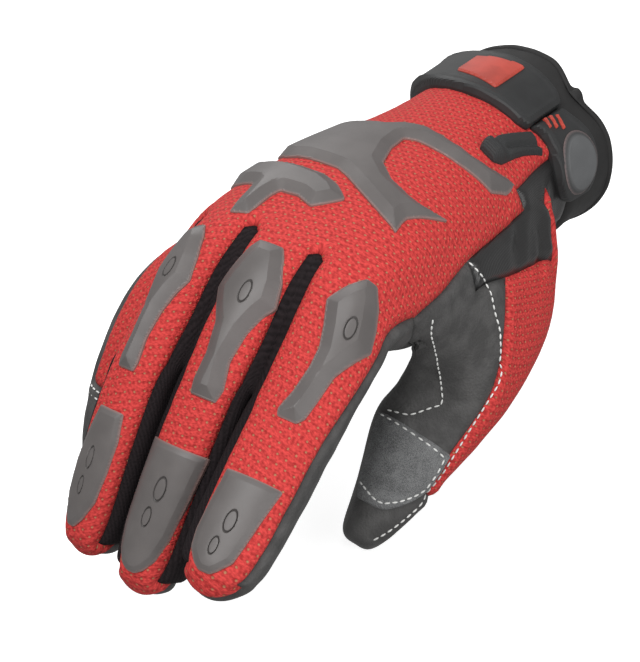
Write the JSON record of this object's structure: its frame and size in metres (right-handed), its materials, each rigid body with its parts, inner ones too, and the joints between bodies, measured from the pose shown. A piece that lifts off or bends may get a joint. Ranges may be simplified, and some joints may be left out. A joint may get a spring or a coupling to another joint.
{
  "type": "work glove",
  "caption": "Right-hand work glove with a ribbed fabric back, moulded rubber guards, dark palm, knit finger sides and a wrist strap, fingers half bent.",
  "frame": {"origin": "centre of the wrist opening, in the plane of the cuff edge", "axes": "+Y out of the wrist opening toward the forearm, the fingers run toward -Y and bend down toward -Z, +Z out of the back of the hand, +X toward the thumb"},
  "size_m": [0.1019, 0.2186, 0.1146],
  "materials": {
    "red_mesh": "ribbed stretch fabric with small pinholes",
    "leather": "synthetic leather, matt",
    "knit": "ribbed stretch knit",
    "neoprene": "smooth knit over foam",
    "guard_rubber": "satin moulded rubber",
    "strap_rubber": "satin moulded rubber",
    "red_patch": "matt",
    "grip_pad": "satin",
    "webbing": "woven tape",
    "suede": "napped, speckled"
  },
  "bodies": {
    "root": {"back_panel": "red_mesh", "palm_panel": "leather", "fourchette_1": "knit", "fourchette_2": "knit", "fourchette_3": "knit", "thumb_back": "red_mesh", "thumb_front": "leather", "wrist_gusset": "knit", "cuff": "neoprene", "knuckle_guard_ring": "guard_rubber", "knuckle_guard_middle": "guard_rubber", "knuckle_guard_index": "guard_rubber", "fingertip_guard_ring": "guard_rubber", "fingertip_guard_middle": "guard_rubber", "fingertip_guard_index": "guard_rubber", "back_guard_upper": "guard_rubber", "back_guard_lower": "guard_rubber", "wrist_strap": "strap_rubber", "strap_badge": "red_patch", "strap_tab": "strap_rubber", "strap_pad": "grip_pad", "pull_loop": "webbing", "thumb_tip_patch": "suede"}
  },
  "joints": []
}
